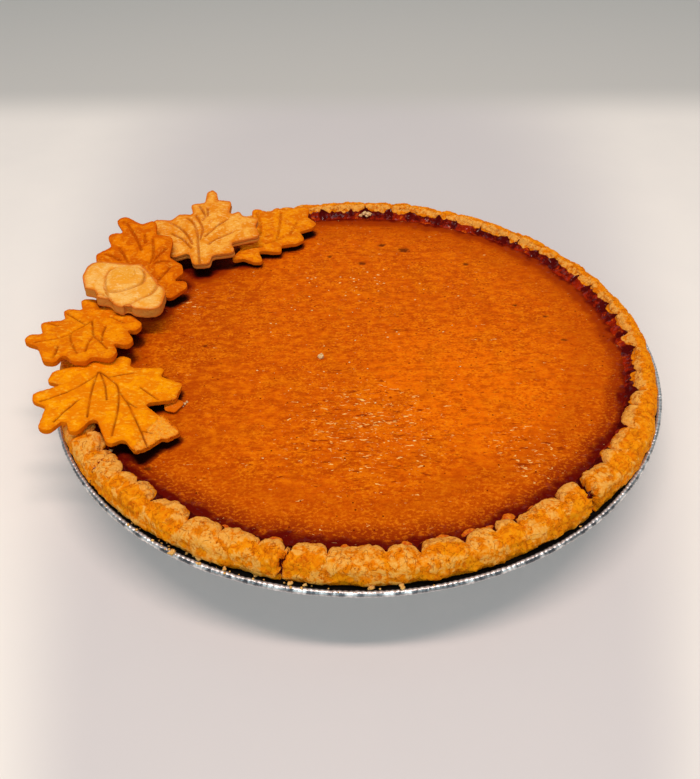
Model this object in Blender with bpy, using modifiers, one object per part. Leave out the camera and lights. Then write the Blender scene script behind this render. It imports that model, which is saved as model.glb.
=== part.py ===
# Pumpkin pie in its foil tin, with a garland of pastry cut-outs along the left of its rim.
# Metres, +Z up. The origin is the centre of the tin's flat underside.

import math

import bmesh
import bpy
import numpy as np
from mathutils import Matrix, Vector

MM = 0.001
GAP = 0.3 * MM  # clearance between pieces that touch

# Tin: a round pan of thin foil, with a flared wall, a flat flange and a rolled edge
TIN_RADIUS = 125 * MM
TIN_SHEET = 0.45 * MM
TIN_BASE_RADIUS = 94.5 * MM
TIN_WALL_TOP_RADIUS = 114.6 * MM
TIN_FLANGE_HEIGHT = 27.0 * MM
TIN_BEND = 1.4 * MM
BEAD_RADIUS = 1.25 * MM
BEAD_SIDES = 6
TIN_STEPS = 64

# Crust: a pastry shell whose raised rim stands on the flange and is pinched into flutes
FLUTES = 58
STEPS_PER_FLUTE = 2
CRUST_FLOOR = 3.2 * MM
CRUST_WALL = 3.4 * MM
CORNER_RUN = 4.0 * MM  # the shell's bottom corner is cut across, inside and out
CORNER_RISE = 2.0 * MM
SLANT_GAP = 1.6 * GAP  # the clearance measured level, across a slanting wall
RIM_FOOT_RADIUS = 120.5 * MM
RIM_SHOULDER_RADIUS = 119.7 * MM
RIM_CREST_RADIUS = 113.2 * MM
RIM_TOP_HEIGHT = 36.0 * MM
RIM_ROUNDING = 1.8 * MM
RIM_SKIRT_TAPER = 0.4 * MM
FLUTE_DEPTH = 1.9 * MM
OUTER_FLUTE_SHARE = 0.15  # how much of the flutes' depth is left on the rim's outer side
RIM_UNEVENNESS = 0.35 * MM

# Filling: set custard, level to a little below the crest
FILLING_HEIGHT = 31.0 * MM
FILLING_RADIUS = 109.6 * MM
FILLING_EDGE = 0.8 * MM
FILLING_STEPS = 80

# Cut-outs. Each outline is a ring of corners (x, y, rounding radius) in millimetres, with the
# leaf's tip towards +Y where it has one. "place" is the middle of the top face in millimetres,
# "lean" the slope in degrees and the direction that it rises to, "turn" the direction of +Y.
COOKIES = {
    "maple_leaf_front": {
        "place": (-91, -47, 38.4),
        "lean": (7, -155),
        "turn": -80,
        "thick": 2.7,
        "colour": (0.72, 0.31, 0.035),
        "outline": [
            (10, -24.2, 1.2), (9.4, -30.5, 1.8), (5.2, -30.5, 1.8), (4.7, -24.4, 1.2),
            (-0.9, -28.2, 2), (-4.5, -26.2, 1.8), (-4.5, -20, 1.2), (-18.6, -19.6, 1.8),
            (-16.2, -14, 1.2), (-25, -8.8, 1.8), (-22.8, 0.9, 2), (-10.8, 2.5, 1),
            (-17, 10.6, 0.6), (-17.8, 8.6, 0.6), (-25.2, 19.2, 1.4), (-19.8, 23.2, 1),
            (-18.6, 21.8, 0.6), (-13.8, 26.9, 3), (-9.4, 29.1, 1.4), (-5.3, 21.7, 1.2),
            (-0.1, 25.6, 2.2), (5.5, 9.1, 1.6), (10.4, 17.3, 2.4), (13.6, 17.6, 2),
            (15.5, 10, 1), (20.8, 17, 2.4), (24.4, 14.6, 2.2), (23.4, 2.7, 1),
            (28.6, -0.4, 2.2), (29.2, -4.9, 2.2), (19.4, -10.1, 0.6), (25.5, -11.6, 2),
            (24, -18.4, 2),
        ],
    },
    "oak_leaf": {
        "place": (-111, -10, 41.65),
        "lean": (5, -120),
        "turn": 0,
        "thick": 3.0,
        "colour": (0.70, 0.27, 0.02),
        "outline": [
            (6.2, -23.6, 2.5), (1.2, -23.4, 1.6), (1, -17.8, 0.8), (-8.4, -22.4, 2.4),
            (-10.6, -12.5, 1), (-20.3, -16.6, 2.2), (-19.3, -7.9, 0.8), (-29.4, -12, 2.2),
            (-29, -4.5, 3), (-21, -1.5, 1.2), (-24, 6.5, 3), (-16.4, 9, 1.2),
            (-16, 14.3, 3), (-9.3, 20.8, 4), (-3.6, 18.8, 1.6), (-5.6, 14.2, 0.8),
            (3, 19.9, 3), (7.4, 18.2, 2.4), (5, 11.2, 0.8), (11, 15.4, 3.5),
            (17.8, 14.8, 2.6), (15.5, 6.6, 1.4), (19.4, 5.4, 2), (19.4, 0, 2.5),
            (14.5, -5, 0.8), (21.4, -6, 2.2), (20.2, -11, 3), (9.9, -16.8, 2.5),
            (8.2, -20.8, 2.5),
        ],
    },
    "rose_cookie": {
        "place": (-101, 19, 46.45),
        "lean": (5, 175),
        "turn": 0,
        "thick": 5.4,
        "colour": (0.80, 0.47, 0.17),
        "outline": [
            (-6, -20.8, 6), (-19.6, -20.8, 8.5), (-18, -2.2, 3), (-19.4, 2, 2.5),
            (0.9, 17.4, 8), (16.1, 18, 8), (15.8, 7, 3), (13, 3.5, 0.8),
            (16, 2.2, 1.8), (13.6, -2.2, 3), (9.9, -5.4, 1.5), (9.9, -10.5, 2.5),
            (4.1, -12.8, 1.5), (3.1, -17.6, 2.5),
        ],
    },
    "maple_leaf_left": {
        "place": (-100, 50, 43.35),
        "lean": (13, 102),
        "turn": 110,
        "thick": 3.0,
        "colour": (0.66, 0.22, 0.01),
        "outline": [
            (-22.8, 1, 2.5), (-22.6, 8.4, 2.8), (-14.6, 11.6, 1), (-15.5, 21.9, 3.2),
            (-7.4, 19.8, 0.8), (-9.8, 29.9, 2.6), (-4.8, 32.4, 2.6), (1.8, 23.4, 1.8),
            (9.4, 25.6, 2.2), (7.2, 13.5, 1), (15, 10.4, 3.2), (10.2, -3.6, 2.2),
            (15, -10.6, 2.8), (14.4, -16, 2.5), (8.2, -20, 0.8), (14.6, -21.4, 2),
            (14.4, -25.6, 2.4), (5.2, -30.6, 2.5), (1, -25, 1.5), (-1.5, -33, 1.8),
            (-6, -33, 1.8), (-6, -24, 1.5), (-13.5, -16.5, 3), (-14.5, -7.5, 1.5),
        ],
    },
    "maple_leaf_back": {
        "place": (-75, 76, 43.5),
        "lean": (11, 82),
        "turn": 93,
        "thick": 4.0,
        "colour": (0.78, 0.42, 0.12),
        "outline": [
            (-28.3, 11, 2), (-19.3, 9.5, 2.5), (-15.8, 14.3, 2), (-8.4, 13.3, 1),
            (-10.8, 22.3, 2), (-3.2, 22.6, 1.5), (-2.9, 31.5, 1.6), (0, 33.8, 1.4),
            (2.6, 30.5, 2), (3.5, 24.4, 1.5), (10.8, 22.6, 2.2), (9.8, 11, 1.2),
            (15.3, 13.7, 1.6), (17.3, 9.4, 2), (25.7, 7.2, 2), (23.8, 1.4, 1),
            (26.7, -7.1, 2.4), (12, -10.8, 1), (15.3, -18.2, 2.2), (3.5, -19.4, 1.2),
            (2.8, -25.3, 2), (-5.3, -25.5, 2.4), (-7.9, -16.6, 1.2), (-16.8, -20.2, 2.4),
            (-19.3, -8.5, 1.5), (-30.3, -1.5, 3),
        ],
    },
    "maple_leaf_right": {
        "place": (-41, 84, 37.1),
        "lean": (8, 117),
        "turn": 90,
        "thick": 2.8,
        "colour": (0.74, 0.34, 0.03),
        "outline": [
            (-15.2, 22.8, 2.4), (-5.6, 18.7, 1.5), (-2.8, 23.8, 2), (1.8, 21.9, 1.5),
            (15.7, 27.5, 2.5), (14.7, 16.3, 1), (20.1, 10.6, 2.6), (17.4, 6.2, 2.5),
            (11.2, 2.6, 0.8), (14.4, -3.6, 2.4), (10.6, -7.2, 2), (2.7, -9.9, 0.8),
            (3.5, -15.4, 2), (-8.4, -15.4, 0.8), (-4.9, -24.4, 1.8), (-9.4, -24.6, 2.2),
            (-15.3, -22, 2), (-21.8, -24.5, 2.5), (-16.8, -14, 1.2), (-21.3, -8, 2.5),
            (-16.3, 1, 1.2), (-20.3, 9, 2.5), (-14.7, 13.3, 1.2),
        ],
    },
    "leaf_crumb": {
        "place": (-67.5, -47.5, 32.6),
        "lean": (0, 0),
        "turn": 0,
        "thick": 1.3,
        "colour": (0.55, 0.17, 0.01),
        "outline": [
            (-3.8, -7, 1.5), (-5.6, -1, 2.5), (-3.2, 5.8, 1.2), (3.8, 1.5, 2),
            (2.4, -5, 2.5),
        ],
    },
}
COOKIE_BEVEL = 0.7 * MM
TIGHT_CORNER = 1.2  # a rounding radius in millimetres up to which an arc has a single segment


def clear_scene():
    for obj in list(bpy.data.objects):
        bpy.data.objects.remove(obj)


def new_collection(name):
    collection = bpy.data.collections.new(name)
    bpy.context.scene.collection.children.link(collection)
    return collection


def new_material(name, colour, roughness, metallic=0.0):
    material = bpy.data.materials.new(name)
    material.use_nodes = True
    shader = material.node_tree.nodes["Principled BSDF"]
    shader.inputs["Base Color"].default_value = (*colour, 1.0)
    shader.inputs["Roughness"].default_value = roughness
    shader.inputs["Metallic"].default_value = metallic
    return material


def turned(name, profile, steps, collection, material):
    """A ring or disc turned about Z from a closed profile of (radius, height), outer side first."""
    mesh = bpy.data.meshes.new(name)
    points = [(radius, 0.0, height) for radius, height in profile]
    edges = [(i, i + 1) for i in range(len(points) - 1)]
    if profile[0][0] > 0:
        edges.append((len(points) - 1, 0))
    mesh.from_pydata(points, edges, [])
    obj = bpy.data.objects.new(name, mesh)
    collection.objects.link(obj)
    screw = obj.modifiers.new("Turn", "SCREW")
    screw.steps = steps
    screw.render_steps = steps
    screw.use_merge_vertices = True
    screw.merge_threshold = 0.00005
    screw.use_smooth_shade = True
    obj.data.materials.append(material)
    return obj


def made_mesh(obj):
    """Replaces an object's data and modifiers with its evaluated mesh, welded."""
    graph = bpy.context.evaluated_depsgraph_get()
    mesh = bpy.data.meshes.new_from_object(obj.evaluated_get(graph))
    work = bmesh.new()
    work.from_mesh(mesh)
    bmesh.ops.remove_doubles(work, verts=work.verts, dist=0.00001)
    work.to_mesh(mesh)
    work.free()
    solid = bpy.data.objects.new(obj.name, mesh)
    solid.matrix_world = obj.matrix_world.copy()
    for collection in obj.users_collection:
        collection.objects.link(solid)
    name = obj.name
    bpy.data.objects.remove(obj)
    solid.name = name
    return solid


def smooth(obj, angle=35):
    obj.data.shade_smooth()
    obj.data.set_sharp_from_angle(angle=math.radians(angle))


def arc(centre, radius, start, end, segments):
    """Points on an arc from one angle to another, in degrees."""
    angles = np.radians(np.linspace(start, end, segments + 1))
    return [(centre[0] + radius * math.cos(a), centre[1] + radius * math.sin(a)) for a in angles]


def tin_wall_radius(height):
    """Inner face of the tin's wall."""
    rise = (height - TIN_SHEET) / (TIN_FLANGE_HEIGHT - TIN_SHEET)
    return TIN_BASE_RADIUS + (TIN_WALL_TOP_RADIUS - TIN_BASE_RADIUS) * rise


def build_tin(collection):
    material = new_material("foil", (0.80, 0.81, 0.82), 0.28, 1.0)
    bead = (TIN_RADIUS - BEAD_RADIUS, TIN_FLANGE_HEIGHT + BEAD_RADIUS - TIN_SHEET)
    lip = TIN_RADIUS - 2 * BEAD_RADIUS
    top = TIN_FLANGE_HEIGHT + TIN_SHEET
    profile = [(lip, top)]
    profile += arc(bead, BEAD_RADIUS, 160, -110, BEAD_SIDES)
    profile += [
        (TIN_WALL_TOP_RADIUS + TIN_BEND, TIN_FLANGE_HEIGHT),
        (TIN_WALL_TOP_RADIUS + TIN_SHEET, TIN_FLANGE_HEIGHT - TIN_BEND / 2),
        (TIN_BASE_RADIUS + TIN_SHEET + TIN_BEND, TIN_BEND),
        (TIN_BASE_RADIUS, 0.0),
        (0.0, 0.0),
        (0.0, TIN_SHEET),
        (TIN_BASE_RADIUS - TIN_SHEET / 2, TIN_SHEET),
        (TIN_BASE_RADIUS + TIN_BEND, TIN_BEND + TIN_SHEET / 2),
        (TIN_WALL_TOP_RADIUS, TIN_FLANGE_HEIGHT - TIN_BEND / 2),
        (TIN_WALL_TOP_RADIUS + TIN_BEND, top),
    ]
    # The profile opens at the axis, so it starts and ends there.
    axis = profile.index((0.0, TIN_SHEET))
    profile = profile[axis:] + profile[:axis]
    tin = turned("pie_tin", profile, TIN_STEPS, collection, material)
    tin = made_mesh(tin)
    smooth(tin)
    return tin


def build_crust(collection):
    """The pastry shell: floor, wall against the tin, and the fluted rim over the flange."""
    material = new_material("pastry", (0.78, 0.43, 0.14), 0.75)
    seat = TIN_FLANGE_HEIGHT + TIN_SHEET + GAP
    floor = TIN_SHEET + GAP
    foot = tin_wall_radius(floor + CORNER_RISE) - SLANT_GAP
    crest_middle = (RIM_CREST_RADIUS + RIM_SHOULDER_RADIUS) / 2
    profile = [
        (0.0, floor + CRUST_FLOOR),
        (foot - CRUST_WALL - CORNER_RUN, floor + CRUST_FLOOR),
        (foot - CRUST_WALL, floor + CRUST_FLOOR + CORNER_RISE),
        (FILLING_RADIUS + 2.5 * GAP, FILLING_HEIGHT),
        (RIM_CREST_RADIUS - RIM_ROUNDING, (FILLING_HEIGHT + RIM_TOP_HEIGHT) / 2),
        (RIM_CREST_RADIUS, RIM_TOP_HEIGHT - RIM_ROUNDING / 3),
        (crest_middle, RIM_TOP_HEIGHT),
        (RIM_SHOULDER_RADIUS, RIM_TOP_HEIGHT - RIM_ROUNDING / 9),
        (RIM_FOOT_RADIUS, RIM_TOP_HEIGHT - RIM_ROUNDING),
        (RIM_FOOT_RADIUS - RIM_SKIRT_TAPER, seat),
        (TIN_WALL_TOP_RADIUS + TIN_BEND - SLANT_GAP, seat),
        (TIN_WALL_TOP_RADIUS - SLANT_GAP, TIN_FLANGE_HEIGHT - TIN_BEND / 2),
        (foot, floor + CORNER_RISE),
        (foot - CORNER_RUN / 2, floor),
        (0.0, floor),
    ]
    crust = turned("crust", profile, FLUTES * STEPS_PER_FLUTE, collection, material)
    crust = made_mesh(crust)
    flute(crust)
    smooth(crust, 50)
    return crust


def flute(crust):
    """Pinches the rim: deep scallops on its inner edge, slight ones outside, all a little uneven."""
    rng = np.random.default_rng(11)
    rim_width = RIM_FOOT_RADIUS - RIM_CREST_RADIUS
    push = rng.uniform(-1, 1, FLUTES)
    lift = rng.uniform(-1, 1, FLUTES)
    for vert in crust.data.vertices:
        radius = math.hypot(vert.co.x, vert.co.y)
        if vert.co.z < FILLING_HEIGHT - GAP or radius < FILLING_RADIUS:
            continue
        angle = math.atan2(vert.co.y, vert.co.x) % math.tau
        which = int(angle / math.tau * FLUTES + 0.25) % FLUTES
        wave = math.cos(angle * FLUTES)
        height = max(0.0, (vert.co.z - FILLING_HEIGHT) / (RIM_TOP_HEIGHT - FILLING_HEIGHT))
        outward = min(1.0, max(0.0, (radius - RIM_CREST_RADIUS) / rim_width))
        depth = FLUTE_DEPTH * height * (1 - (1 - OUTER_FLUTE_SHARE) * outward)
        uneven = RIM_UNEVENNESS * height
        scale = (radius - depth * wave + uneven * push[which]) / radius
        rise = uneven * (0.6 * lift[which] + 0.7 * wave - 0.9)
        vert.co.x *= scale
        vert.co.y *= scale
        vert.co.z += rise


def build_filling(collection):
    material = new_material("pumpkin_custard", (0.48, 0.10, 0.004), 0.35)
    floor = TIN_SHEET + GAP + CRUST_FLOOR + GAP
    foot = tin_wall_radius(TIN_SHEET + GAP + CORNER_RISE) - SLANT_GAP - CRUST_WALL - SLANT_GAP
    profile = [
        (0.0, FILLING_HEIGHT),
        (FILLING_RADIUS - 3 * FILLING_EDGE, FILLING_HEIGHT),
        (FILLING_RADIUS, FILLING_HEIGHT - FILLING_EDGE),
        (foot, floor + CORNER_RISE),
        (foot - CORNER_RUN, floor),
        (0.0, floor),
    ]
    filling = turned("filling", profile, FILLING_STEPS, collection, material)
    filling = made_mesh(filling)
    smooth(filling)
    return filling


def rounded_outline(corners):
    """Replaces each corner (x, y, radius) by an arc that touches both of its sides."""
    points = []
    count = len(corners)
    for i, (x, y, radius) in enumerate(corners):
        here = Vector((x, y))
        to_last = Vector(corners[i - 1][:2]) - here
        to_next = Vector(corners[(i + 1) % count][:2]) - here
        half = to_last.angle(to_next) / 2
        reach = min(radius / math.tan(half), 0.46 * to_last.length, 0.46 * to_next.length)
        bend = reach * math.tan(half)
        start = here + to_last.normalized() * reach
        end = here + to_next.normalized() * reach
        centre = here + (to_last.normalized() + to_next.normalized()).normalized() * (
            bend / math.sin(half)
        )
        segments = 1 if radius <= TIGHT_CORNER else 3
        spoke = start - centre
        sweep = spoke.angle_signed(end - centre)
        for k in range(segments + 1):
            turn = Matrix.Rotation(-sweep * k / segments, 2)
            points.append(centre + turn @ spoke)
    return points


def build_cookie(name, cookie, collection):
    """One flat cut-out: its outline as a filled curve, given thickness, and leaned into place."""
    material = new_material(name + "_pastry", cookie["colour"], 0.7)
    curve = bpy.data.curves.new(name, "CURVE")
    curve.dimensions = "2D"
    curve.fill_mode = "BOTH"
    curve.extrude = cookie["thick"] * MM / 2
    outline = rounded_outline(cookie["outline"])
    spline = curve.splines.new("POLY")
    spline.points.add(len(outline) - 1)
    for point, place in zip(spline.points, outline):
        point.co = (place.x * MM, place.y * MM, 0.0, 1.0)
    spline.use_cyclic_u = True
    flat = bpy.data.objects.new(name, curve)
    collection.objects.link(flat)
    flat.data.materials.append(material)

    slope, uphill = (math.radians(value) for value in cookie["lean"])
    tilt = Matrix.Rotation(slope, 4, Vector((math.sin(uphill), -math.cos(uphill), 0)))
    turn = Matrix.Rotation(math.radians(cookie["turn"] - 90), 4, "Z")
    sink = Matrix.Translation((0, 0, -curve.extrude))
    flat.matrix_world = Matrix.Translation(Vector(cookie["place"]) * MM) @ tilt @ turn @ sink
    bpy.context.view_layer.update()
    solid = made_mesh(flat)
    bevel = solid.modifiers.new("Rounded edge", "BEVEL")
    bevel.width = COOKIE_BEVEL
    bevel.segments = 1
    bevel.limit_method = "ANGLE"
    bevel.angle_limit = math.radians(75)
    return solid


def main():
    clear_scene()
    pie = new_collection("pumpkin_pie")
    build_tin(pie)
    build_crust(pie)
    build_filling(pie)
    for name, cookie in COOKIES.items():
        build_cookie(name, cookie, pie)


main()
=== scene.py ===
# Looks of the pumpkin pie: fine shapes, finishes, crumbs, light and camera.
# Sizes in the dictionaries are millimetres and degrees; mm turns them into metres.
import math
import random

import bmesh
import bpy
from mathutils import Matrix, Vector, geometry, noise
from mathutils.bvhtree import BVHTree
from mathutils.kdtree import KDTree


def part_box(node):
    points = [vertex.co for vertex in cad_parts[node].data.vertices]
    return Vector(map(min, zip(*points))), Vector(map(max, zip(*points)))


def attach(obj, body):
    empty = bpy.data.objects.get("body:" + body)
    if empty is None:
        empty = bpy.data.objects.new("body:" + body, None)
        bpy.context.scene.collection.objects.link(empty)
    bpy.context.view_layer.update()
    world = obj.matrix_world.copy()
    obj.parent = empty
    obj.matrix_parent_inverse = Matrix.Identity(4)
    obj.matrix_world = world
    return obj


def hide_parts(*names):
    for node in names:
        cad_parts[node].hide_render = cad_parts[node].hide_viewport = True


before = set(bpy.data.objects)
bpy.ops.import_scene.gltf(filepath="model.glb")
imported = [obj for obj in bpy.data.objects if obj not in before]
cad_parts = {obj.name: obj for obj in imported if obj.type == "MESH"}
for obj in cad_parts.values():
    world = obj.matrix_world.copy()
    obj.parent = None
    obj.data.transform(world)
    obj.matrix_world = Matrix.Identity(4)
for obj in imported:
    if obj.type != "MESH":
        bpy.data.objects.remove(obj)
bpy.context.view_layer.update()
mm = 0.001
noise.seed_set(7)  # noise_vector starts from the clock without it, and the crust would vary


# ---- materials

def tone(red, green, blue):
    # a screen colour, 0 to 255, made linear for the shader
    def linear(value):
        value = value / 255
        return value / 12.92 if value <= 0.04045 else ((value + 0.055) / 1.055) ** 2.4
    return (linear(red), linear(green), linear(blue), 1.0)


class Wire:
    # one socket, so that masks are written as sums and products
    def __init__(self, finish, socket):
        self.finish = finish
        self.socket = socket

    def reckon(self, operation, *values):
        sockets = dict(enumerate(values))
        return self.finish.node("ShaderNodeMath", {"operation": operation}, sockets)

    def __add__(self, other):
        return self.reckon("ADD", self, other)

    def __sub__(self, other):
        return self.reckon("SUBTRACT", self, other)

    def __rsub__(self, other):
        return self.reckon("SUBTRACT", other, self)

    def __mul__(self, other):
        return self.reckon("MULTIPLY", self, other)

    def __truediv__(self, other):
        return self.reckon("DIVIDE", self, other)

    def __rtruediv__(self, other):
        return self.reckon("DIVIDE", other, self)

    __radd__ = __add__
    __rmul__ = __mul__


class Finish:
    # one material, whose nodes all come from node()
    def __init__(self, name):
        self.material = bpy.data.materials.new(name)
        self.material.use_nodes = True
        self.tree = self.material.node_tree
        self.tree.nodes.clear()
        self.place = self.node("ShaderNodeTexCoord", out="Object")

    def node(self, kind, settings=None, sockets=None, out=0):
        made = self.tree.nodes.new(kind)
        for key, value in (settings or {}).items():
            setattr(made, key, value)
        for key, value in (sockets or {}).items():
            if isinstance(value, Wire):
                self.tree.links.new(value.socket, made.inputs[key])
            else:
                made.inputs[key].default_value = value
        return Wire(self, made.outputs[out]) if made.outputs else None

    def stretched(self, x, y, z):
        # object coordinates with a pattern drawn out along an axis by that factor
        return self.node("ShaderNodeMapping", None, {"Vector": self.place, "Scale": (1 / x, 1 / y, 1 / z)})

    def grain(self, size, detail=2.0, rough=0.5, twist=0.0, at=None):
        # soft noise whose features are about size millimetres
        return self.node("ShaderNodeTexNoise", None, {
            "Vector": at or self.place, "Scale": 1 / (size * mm), "Detail": detail,
            "Roughness": rough, "Distortion": twist})

    def cells(self, size, at=None):
        # distance to the nearest of scattered points that are about size millimetres apart
        return self.node("ShaderNodeTexVoronoi", None, {
            "Vector": at or self.place, "Scale": 1 / (size * mm)}, out="Distance")

    def creases(self, size, width, twist=0.6):
        # thin wandering lines about size millimetres apart
        offset = self.grain(size, 2, 0.5, twist) - 0.5
        return self.between(offset * offset, (0.012 * width) ** 2, (0.004 * width) ** 2)

    def between(self, value, low, high):
        # 0 below low and 1 above high, or the other way round where low is the higher
        return self.node("ShaderNodeMapRange", {"interpolation_type": "SMOOTHSTEP"}, {
            "Value": value, "From Min": low, "From Max": high})

    def painted(self, layer):
        return self.node("ShaderNodeAttribute", {"attribute_name": layer}, out="Fac")

    def mix(self, factor, first, second):
        return self.node("ShaderNodeMix", {"data_type": "RGBA"}, {0: factor, 6: first, 7: second}, out=2)

    def bump(self, height, depth, under=None):
        # depth in millimetres is how far a height of 1 stands out
        sockets = {"Height": height, "Distance": depth * mm}
        if under:
            sockets["Normal"] = under
        return self.node("ShaderNodeBump", None, sockets)

    def shade(self, sockets):
        shader = self.node("ShaderNodeBsdfPrincipled", None, sockets)
        self.node("ShaderNodeOutputMaterial", None, {"Surface": shader})
        return self.material


# ---- shapes

def clamp(value, low=0.0, high=1.0):
    return max(low, min(high, value))


def ease(value, low, high):
    # 0 at low, 1 at high, smooth between, as between() does in a material
    step = clamp((value - low) / (high - low))
    return step * step * (3 - 2 * step)


def smoothLine(corners, spacing):
    # a curve through the corners, with a point about every spacing
    corners = [Vector(corner) for corner in corners]
    line = [corners[0]]
    for i in range(len(corners) - 1):
        start, end = corners[i], corners[i + 1]
        before = corners[max(i - 1, 0)]
        after = corners[min(i + 2, len(corners) - 1)]
        count = max(2, round((end - start).length / spacing) + 1)
        line += geometry.interpolate_bezier(
            start, start + (end - before) / 6, end - (after - start) / 6, end, count)[1:]
    return line


def turned(section, steps):
    # a closed ring or disc: a grid wrapped round Z, its rows set to (radius, height) in millimetres
    shape = bmesh.new()
    bmesh.ops.create_grid(shape, x_segments=steps, y_segments=len(section) - 1, size=1)
    for vert in shape.verts:
        radius, height = section[round((vert.co.y + 1) / 2 * (len(section) - 1))]
        turn = math.pi * vert.co.x
        vert.co = Vector((radius * math.cos(turn), radius * math.sin(turn), height)) * mm
    bmesh.ops.remove_doubles(shape, verts=shape.verts, dist=0.002 * mm)
    bmesh.ops.recalc_face_normals(shape, faces=shape.faces)
    return shape


def chance(first, second):
    # the same number from 0 to 1 for the same pair
    return 0.5 + 0.5 * noise.cell(Vector((first, second, 0.5)))


def around(place):
    # direction from the middle of the pie, in degrees
    return math.degrees(math.atan2(place.y, place.x)) % 360


def wrapped(angle):
    # an angle brought between -180 and 180
    return (angle + 180) % 360 - 180


def finished(name, shape, material, node=None):
    mesh = bpy.data.meshes.new(name)
    shape.to_mesh(mesh)
    shape.free()
    mesh.materials.append(material)
    mesh.shade_smooth()
    piece = bpy.data.objects.new(name, mesh)
    bpy.context.scene.collection.objects.link(piece)
    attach(piece, "root")
    if node:
        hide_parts(node)
    print(name, "has", len(mesh.polygons), "faces")
    return piece


# ---- camera and light

view = {
    "eye": (0.0, -0.2429, 0.2102),
    "turn": (49.46, 0.44, 0.39),
    "lens": 32.35,
}

light = {
    # a tube overhead and a wide pale window in front: place, width, depth, power and colour
    "lamps": [((0.0, -0.12, 1.5), 1.3, 0.16, 14.0, (1.0, 0.82, 0.75)),
              ((0.0, -1.15, 0.8), 1.4, 0.7, 6.0, (0.74, 0.95, 1.0))],
    "aim": (0.0, 0.0, 0.03),
    "skyColour": (0.82, 0.95, 1.0, 1.0),
    "skyPower": 0.42,
    # painted light and shade on the floor: its shaded tone round the pie, its lit tone to the sides and in
    # front, its tone far behind, and its faint mottling
    "tableShadedTone": (216, 207, 204),
    "tableLitTone": (250, 240, 230),
    "tableFar": (206, 200, 192),
    "tableMottle": (200, 196, 196),
    # how its painted shaded middle widens with distance, and where that shade ends in front and behind
    "tableSpread": (0.77, 0.32),
    "tableFront": (-0.17, -0.30),
    "tableBack": (0.34, 0.44),
}


def setUpView():
    camera = bpy.data.objects.new("camera", bpy.data.cameras.new("camera"))
    camera.data.lens = view["lens"]
    camera.data.clip_start = 0.01
    camera.location = view["eye"]
    camera.rotation_euler = [math.radians(angle) for angle in view["turn"]]
    bpy.context.scene.collection.objects.link(camera)
    bpy.context.scene.camera = camera

    for place, width, depth, power, colour in light["lamps"]:
        lamp = bpy.data.objects.new("lamp", bpy.data.lights.new("lamp", "AREA"))
        lamp.data.shape = "RECTANGLE"
        lamp.data.size = width
        lamp.data.size_y = depth
        lamp.data.energy = power
        lamp.data.color = colour
        lamp.location = place
        beam = Vector(light["aim"]) - Vector(place)
        lamp.rotation_euler = beam.to_track_quat("-Z", "Y").to_euler()
        bpy.context.scene.collection.objects.link(lamp)

    world = bpy.data.worlds.new("sky")
    world.use_nodes = True
    sky = world.node_tree.nodes["Background"]
    sky.inputs["Color"].default_value = light["skyColour"]
    sky.inputs["Strength"].default_value = light["skyPower"]
    bpy.context.scene.world = world
    bpy.context.scene.view_settings.view_transform = "Standard"

    floor = bmesh.new()
    bmesh.ops.create_grid(floor, x_segments=2, y_segments=2, size=4)
    mesh = bpy.data.meshes.new("floor")
    floor.to_mesh(mesh)
    floor.free()
    table = Finish("tabletop")
    soft = table.grain(40, 3)
    across = table.node("ShaderNodeSeparateXYZ", None, {0: table.place}, out="X")
    along = table.node("ShaderNodeSeparateXYZ", None, {0: table.place}, out="Y")
    # painted light: the floor is paler away from the pie, to the sides and in front, as if lit more there
    widening, atMiddle = light["tableSpread"]
    aside = across / (along * widening + atMiddle)
    paler = table.mix(table.between(aside * aside + along * 0.3, 0.10, 0.26), tone(*light["tableShadedTone"]),
                      tone(*light["tableLitTone"]))
    paler = table.mix(table.between(along, *light["tableFront"]), paler, tone(*light["tableLitTone"]))
    paler = table.mix(table.between(along, *light["tableBack"]), paler, tone(*light["tableFar"]))
    mesh.materials.append(table.shade({
        "Base Color": table.mix(soft * 0.15, paler, tone(*light["tableMottle"])),
        "Roughness": 0.45,
        "Specular IOR Level": 0.3}))
    stage = bpy.data.objects.new("floor", mesh)
    bpy.context.scene.collection.objects.link(stage)


setUpView()
print("camera, light and floor are set")


# ---- tin

tin = {
    "crimps": 440,
    "crimpDepth": 0.13,
    "dent": 0.2,
    "unevenness": 0.25,  # how far the rolled edge rises and falls
    "pleats": 150,
    "pleatDepth": 0.22,
    "bead": (123.75, 27.85),
    "beadRadius": 1.15,
    "beadFrom": 122.2,
}


def tinSection():
    # from the middle of the inner floor, over the bead, to the middle of the underside
    middle, height = tin["bead"]
    radius = tin["beadRadius"]
    bead = []
    for angle in range(165, -121, -26):
        bend = math.radians(angle)
        bead.append((middle + radius * math.cos(bend), height + radius * math.sin(bend)))
    inner = [(0, 0.45), (60, 0.45), (94, 0.45), (95.9, 1.6), (103, 11.2), (110, 20.6), (114.2, 26.2),
             (115.8, 27.4), (118.5, 27.4), (120.6, 27.4), (122.1, 27.4)]
    outer = [(122.4, 27.0), (119.5, 27.05), (116.4, 27.0), (115.0, 26.2), (113.4, 24.2), (110.6, 20.4),
             (106.9, 15.4), (103.5, 10.9), (100, 6.2), (97, 2.2), (96, 0.8), (94.5, 0), (60, 0), (0, 0)]
    return inner + bead + outer


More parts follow.
